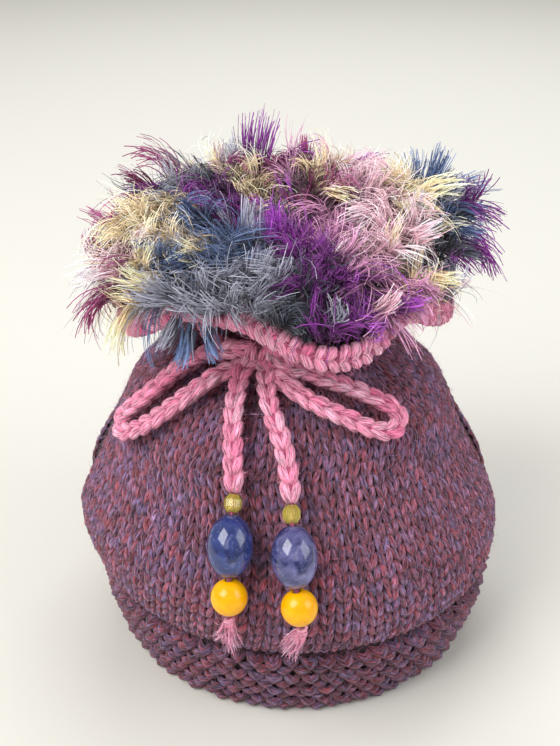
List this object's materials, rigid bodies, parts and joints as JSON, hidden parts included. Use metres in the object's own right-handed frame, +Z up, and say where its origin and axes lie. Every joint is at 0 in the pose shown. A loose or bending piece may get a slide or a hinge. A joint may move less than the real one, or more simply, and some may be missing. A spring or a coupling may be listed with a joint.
{
  "type": "knitted tea cosy",
  "caption": "Hand-knitted tea cosy with a gathered neck, pink tie cord with beads, rolled edging and an eyelash-yarn frill; slits at the sides take spout and handle.",
  "frame": {"origin": "on the surface that the hem rests on, under the middle of the body", "axes": "+Z up; -X is the spout side and +X the handle side; the bow faces -Y"},
  "size_m": [0.1576, 0.1706, 0.1857],
  "materials": {
    "heather_wool": "heathered plum wool, knitted",
    "pink_wool": "pink wool, knitted cord and rolled edge",
    "eyelash_yarn": "shaggy eyelash yarn in purple, plum, pink, cream and slate blue",
    "bead_glass": "faceted yellow-green glass",
    "bead_stone": "polished mottled blue stone",
    "bead_yellow": "glossy opaque yellow"
  },
  "bodies": {
    "root": {"panel_front": "heather_wool", "panel_back": "heather_wool", "collar_edging": "pink_wool", "drawstring": "pink_wool", "eyelash_frill": "eyelash_yarn", "bead_glass_left": "bead_glass", "bead_glass_right": "bead_glass", "bead_stone_left": "bead_stone", "bead_stone_right": "bead_stone", "bead_round_left": "bead_yellow", "bead_round_right": "bead_yellow"}
  },
  "joints": []
}
